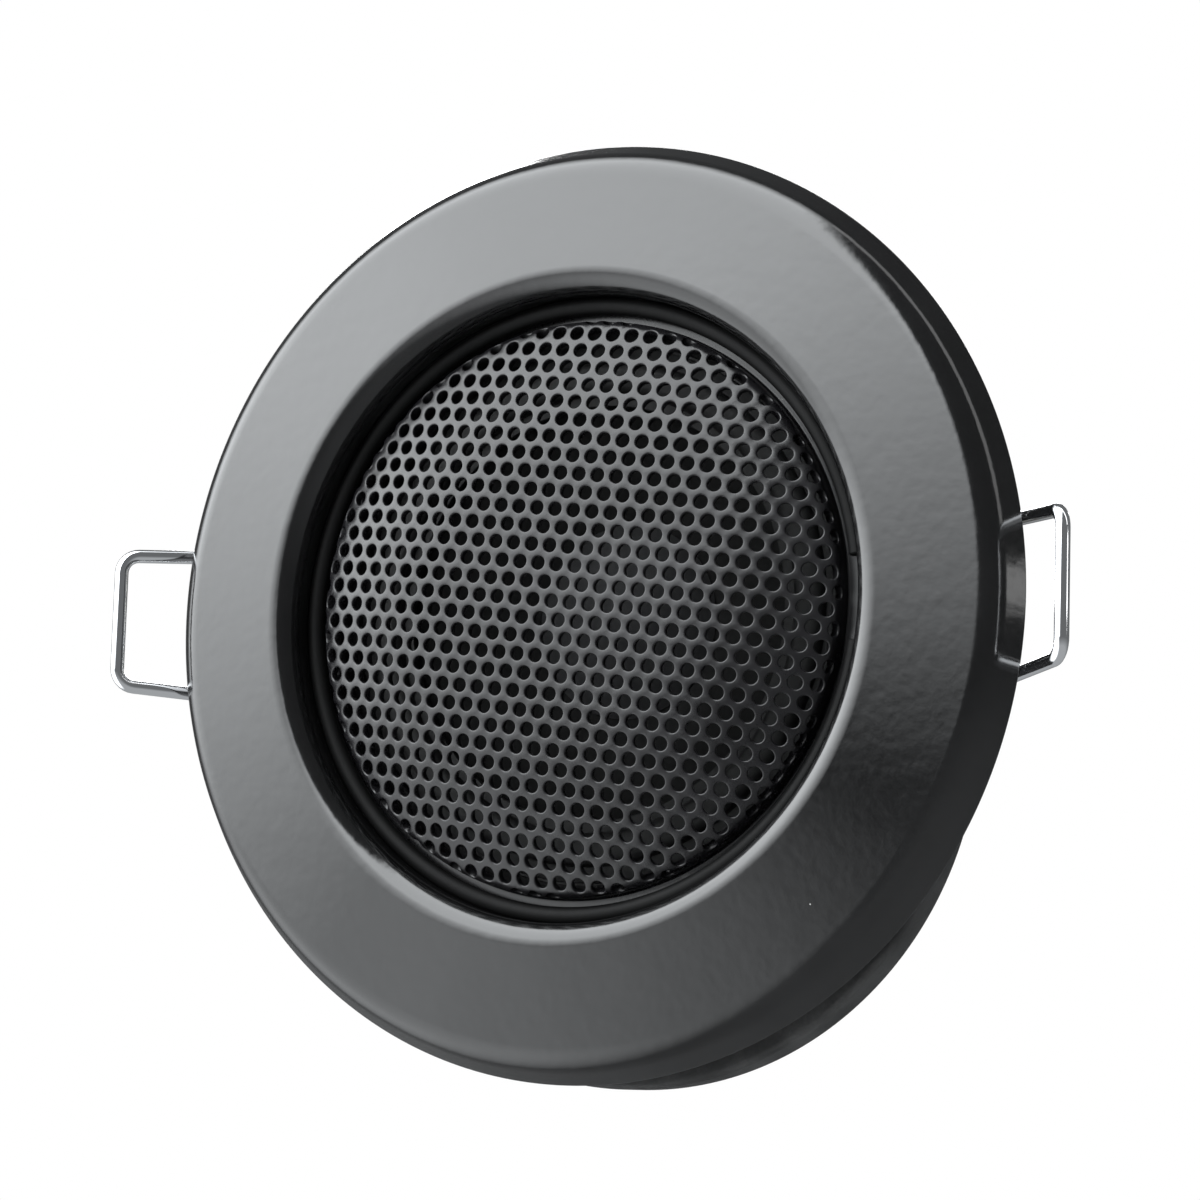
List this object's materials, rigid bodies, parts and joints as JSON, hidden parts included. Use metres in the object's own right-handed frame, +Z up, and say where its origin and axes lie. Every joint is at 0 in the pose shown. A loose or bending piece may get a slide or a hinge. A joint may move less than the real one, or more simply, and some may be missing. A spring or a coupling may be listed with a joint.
{
  "type": "recessed panel speaker",
  "caption": "Small round recessed speaker with a painted trim ring, domed perforated grille and two sprung wire clips that hold it in a panel.",
  "frame": {"origin": "on the speaker's axis, in the plane of the flange's rear edge, which rests on the panel", "axes": "-Y is the way the speaker faces, +Y goes into the panel, +Z is up, and the two clips stand at +X and -X"},
  "size_m": [0.0902, 0.0313, 0.0801],
  "materials": {
    "trim_paint": "satin black paint with fine orange peel",
    "grille_black": "satin black coat on perforated steel",
    "snap_ring_black": "black oxide spring wire",
    "foam_rubber": "closed-cell foam rubber",
    "chrome_wire": "bright nickel-chrome plated spring wire",
    "zinc_steel": "zinc-plated steel",
    "rivet_aluminium": "satin",
    "frame_black": "semi-gloss black",
    "surround_rubber": "matte butyl rubber",
    "cone_paper": "pressed paper pulp",
    "cap_grey": "coated paper",
    "former_aluminium": "foil",
    "coil_copper": "enamelled copper wire",
    "spider_cloth": "resin-dipped cloth",
    "ferrite": "sintered ferrite",
    "board_fibre": "pressed fibre board",
    "terminal_brass": "tinned brass",
    "lead_braid": "braided tinsel"
  },
  "bodies": {
    "housing": {"trim_ring": "trim_paint", "grille": "grille_black", "grille_snap_ring": "snap_ring_black", "seal_gasket": "foam_rubber", "clip_bracket_right": "zinc_steel", "clip_bracket_left": "zinc_steel", "clip_pin_right": "zinc_steel", "clip_pin_left": "zinc_steel", "bracket_rivets": "rivet_aluminium", "spring_legs": "chrome_wire", "driver_gasket": "foam_rubber", "driver_snap_ring": "snap_ring_black", "basket": "frame_black", "surround": "surround_rubber", "spider": "spider_cloth", "top_plate": "zinc_steel", "magnet": "ferrite", "yoke": "zinc_steel", "terminal_board": "board_fibre", "board_rivet": "rivet_aluminium", "terminal_positive": "terminal_brass", "terminal_negative": "terminal_brass", "lead_positive": "lead_braid", "lead_negative": "lead_braid"},
    "cone_assembly": {"cone": "cone_paper", "dust_cap": "cap_grey", "coil_former": "former_aluminium", "voice_coil": "coil_copper"},
    "clip_right": {"clip_right": "chrome_wire"},
    "clip_left": {"clip_left": "chrome_wire"}
  },
  "joints": [
    {"name": "clip_right_hinge", "type": "hinge", "parent": "housing", "child": "clip_right", "pos_m": [0.0306, 0.0128, 0], "axis": [0, 0, 1], "range_deg": [0, 135], "stiffness_Nm_per_rad": 0.03, "springref_deg": -34.38},
    {"name": "clip_left_hinge", "type": "hinge", "parent": "housing", "child": "clip_left", "pos_m": [-0.0306, 0.0128, 0], "axis": [0, 0, -1], "range_deg": [0, 135], "stiffness_Nm_per_rad": 0.03, "springref_deg": -34.38},
    {"name": "cone_travel", "type": "slide", "parent": "housing", "child": "cone_assembly", "axis": [0, 1, 0], "range_m": [-0.001, 0.001], "stiffness_N_per_m": 1500, "deforming": ["surround", "spider", "lead_positive", "lead_negative"]}
  ]
}
